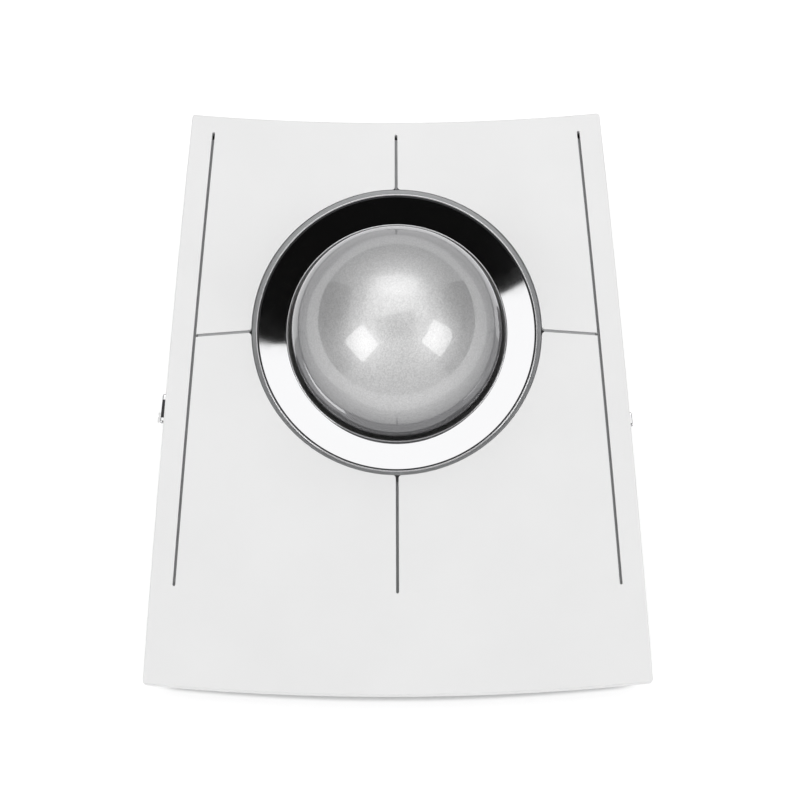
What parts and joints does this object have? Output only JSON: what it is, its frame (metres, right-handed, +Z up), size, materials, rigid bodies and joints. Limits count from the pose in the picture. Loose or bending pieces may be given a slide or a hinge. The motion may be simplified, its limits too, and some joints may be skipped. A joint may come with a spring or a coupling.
{
  "type": "trackball mouse",
  "caption": "Desktop trackball mouse: a large silver ball in a chrome ring, set in an arched white cover that slits divide into click panels.",
  "frame": {"origin": "on the desk, at the centre of the bounding box's base", "axes": "+X to the user's right, +Y away from the user, +Z up"},
  "size_m": [0.132, 0.1525, 0.0585],
  "materials": {
    "cover_white": "fine satin texture",
    "case_grey": "fine matt texture",
    "chrome": "bright polished plating",
    "ball_pearl": "silver pearl under a clear gloss coat",
    "ball_inner": "solid resin",
    "cup_grey": "plain moulded",
    "bearing_white": "polished ceramic, filed under gloss plastic",
    "board_green": "solder mask",
    "chip_black": "moulded package",
    "shield_steel": "pressed sheet",
    "switch_black": "moulded switch body",
    "plunger_red": "moulded",
    "lens_clear": "clear moulded lens",
    "lead_black": "soft sleeve",
    "battery_silver": "laminated pouch foil",
    "steel": "zinc-plated",
    "rubber_dark": "soft matt"
  },
  "bodies": {
    "base": {"top_cover": "cover_white", "bottom_case": "case_grey", "bezel_ring": "chrome", "mode_switch_bezel": "chrome", "ball_cup": "cup_grey", "support_bearing_1": "bearing_white", "support_bearing_2": "bearing_white", "support_bearing_3": "bearing_white", "main_board": "board_green", "charge_board": "board_green", "button_board_left": "board_green", "button_board_right": "board_green", "sensor_board_left": "board_green", "sensor_board_right": "board_green", "controller_chip": "chip_black", "usb_c_tongue": "chip_black", "sensor_chip_left": "chip_black", "sensor_chip_right": "chip_black", "radio_module": "shield_steel", "usb_c_shell": "shield_steel", "mode_switch_body": "switch_black", "dpi_tact_switch": "switch_black", "pairing_tact_switch": "switch_black", "switch_front_left": "switch_black", "switch_front_right": "switch_black", "switch_rear_left": "switch_black", "switch_rear_right": "switch_black", "sensor_lens_left": "lens_clear", "sensor_lens_right": "lens_clear", "battery_lead": "lead_black", "charge_lead": "lead_black", "sensor_lead_left": "lead_black", "sensor_lead_right": "lead_black", "button_lead_left": "lead_black", "button_lead_right": "lead_black", "battery_cell": "battery_silver", "case_screws": "steel", "cup_screws": "steel", "board_screws": "steel", "foot_front_left": "rubber_dark", "foot_front_right": "rubber_dark", "foot_rear_left": "rubber_dark", "foot_rear_right": "rubber_dark"},
    "front_left_button": {"front_left_button": "cover_white"},
    "front_right_button": {"front_right_button": "cover_white"},
    "rear_left_button": {"rear_left_button": "cover_white"},
    "rear_right_button": {"rear_right_button": "cover_white"},
    "plunger_front_left": {"plunger_front_left": "plunger_red"},
    "plunger_front_right": {"plunger_front_right": "plunger_red"},
    "plunger_rear_left": {"plunger_rear_left": "plunger_red"},
    "plunger_rear_right": {"plunger_rear_right": "plunger_red"},
    "mode_slider": {"mode_slider": "cover_white"},
    "dpi_button": {"dpi_button": "chrome"},
    "pairing_button": {"pairing_button": "case_grey"},
    "usb_receiver": {"receiver_cap": "case_grey", "receiver_plug": "shield_steel"},
    "ball_lift": {"ball_core": "ball_inner"},
    "ball_roll_x": {"ball_mantle": "ball_inner"},
    "ball_roll_y": {"ball_pearl_layer": "ball_pearl"},
    "ball": {"ball_clear_coat": "ball_pearl"}
  },
  "joints": [
    {"name": "rear_left_button_press", "type": "hinge", "parent": "base", "child": "rear_left_button", "pos_m": [-0.0243, 0.0702, 0.03376], "axis": [0.9997, -0.0247, 0], "range_deg": [0, 0.4835], "stiffness_Nm_per_rad": 1, "springref_deg": -0.06},
    {"name": "plunger_rear_left_press", "type": "slide", "parent": "base", "child": "plunger_rear_left", "axis": [0, 0, -1], "range_m": [0, 0.00042], "stiffness_N_per_m": 0.02, "springref_m": -0.0041},
    {"name": "rear_right_button_press", "type": "hinge", "parent": "base", "child": "rear_right_button", "pos_m": [0.0243, 0.0702, 0.03376], "axis": [0.9997, 0.0247, 0], "range_deg": [0, 0.4835], "stiffness_Nm_per_rad": 1, "springref_deg": -0.06},
    {"name": "plunger_rear_right_press", "type": "slide", "parent": "base", "child": "plunger_rear_right", "axis": [0, 0, -1], "range_m": [0, 0.00042], "stiffness_N_per_m": 0.02, "springref_m": -0.0041},
    {"name": "front_left_button_press", "type": "hinge", "parent": "base", "child": "front_left_button", "pos_m": [-0.02895, -0.04935, 0.01782], "axis": [-0.9992, 0.0397, 0], "range_deg": [0, 0.4023], "stiffness_Nm_per_rad": 1, "springref_deg": -0.1},
    {"name": "plunger_front_left_press", "type": "slide", "parent": "base", "child": "plunger_front_left", "axis": [0, 0, -1], "range_m": [0, 0.00042], "stiffness_N_per_m": 0.02, "springref_m": -0.0041},
    {"name": "front_right_button_press", "type": "hinge", "parent": "base", "child": "front_right_button", "pos_m": [0.02895, -0.04935, 0.01782], "axis": [-0.9992, -0.0397, 0], "range_deg": [0, 0.4023], "stiffness_Nm_per_rad": 1, "springref_deg": -0.1},
    {"name": "plunger_front_right_press", "type": "slide", "parent": "base", "child": "plunger_front_right", "axis": [0, 0, -1], "range_m": [0, 0.00042], "stiffness_N_per_m": 0.02, "springref_m": -0.0041},
    {"name": "mode_select", "type": "slide", "parent": "base", "child": "mode_slider", "axis": [0.0781, 0.9969, 0], "range_m": [0, 0.004]},
    {"name": "dpi_press", "type": "slide", "parent": "base", "child": "dpi_button", "axis": [-0.9969, -0.0781, 0], "range_m": [0, 0.0005], "stiffness_N_per_m": 100, "springref_m": -0.00002},
    {"name": "pairing_press", "type": "slide", "parent": "base", "child": "pairing_button", "axis": [0, 0, 1], "range_m": [0, 0.0003], "stiffness_N_per_m": 100},
    {"name": "receiver_pull", "type": "slide", "parent": "base", "child": "usb_receiver", "axis": [0, 0, -1], "range_m": [0, 0.02]},
    {"name": "ball_lift_out", "type": "slide", "parent": "base", "child": "ball_lift", "axis": [0, 0, 1], "range_m": [0, 0.06]},
    {"name": "ball_roll_about_x", "type": "hinge", "parent": "ball_lift", "child": "ball_roll_x", "pos_m": [0, 0.0163, 0.031], "axis": [1, 0, 0], "continuous": true},
    {"name": "ball_roll_about_y", "type": "hinge", "parent": "ball_roll_x", "child": "ball_roll_y", "pos_m": [0, 0.0163, 0.031], "axis": [0, 1, 0], "continuous": true},
    {"name": "ball_twist", "type": "hinge", "parent": "ball_roll_y", "child": "ball", "pos_m": [0, 0.0163, 0.031], "axis": [0, 0, 1], "continuous": true}
  ],
  "couplings": [
    {"joint": "plunger_rear_left_press", "follows": "rear_left_button_press", "m_per_rad": 0.047397},
    {"joint": "plunger_rear_right_press", "follows": "rear_right_button_press", "m_per_rad": 0.047397},
    {"joint": "plunger_front_left_press", "follows": "front_left_button_press", "m_per_rad": 0.056968},
    {"joint": "plunger_front_right_press", "follows": "front_right_button_press", "m_per_rad": 0.056968}
  ]
}
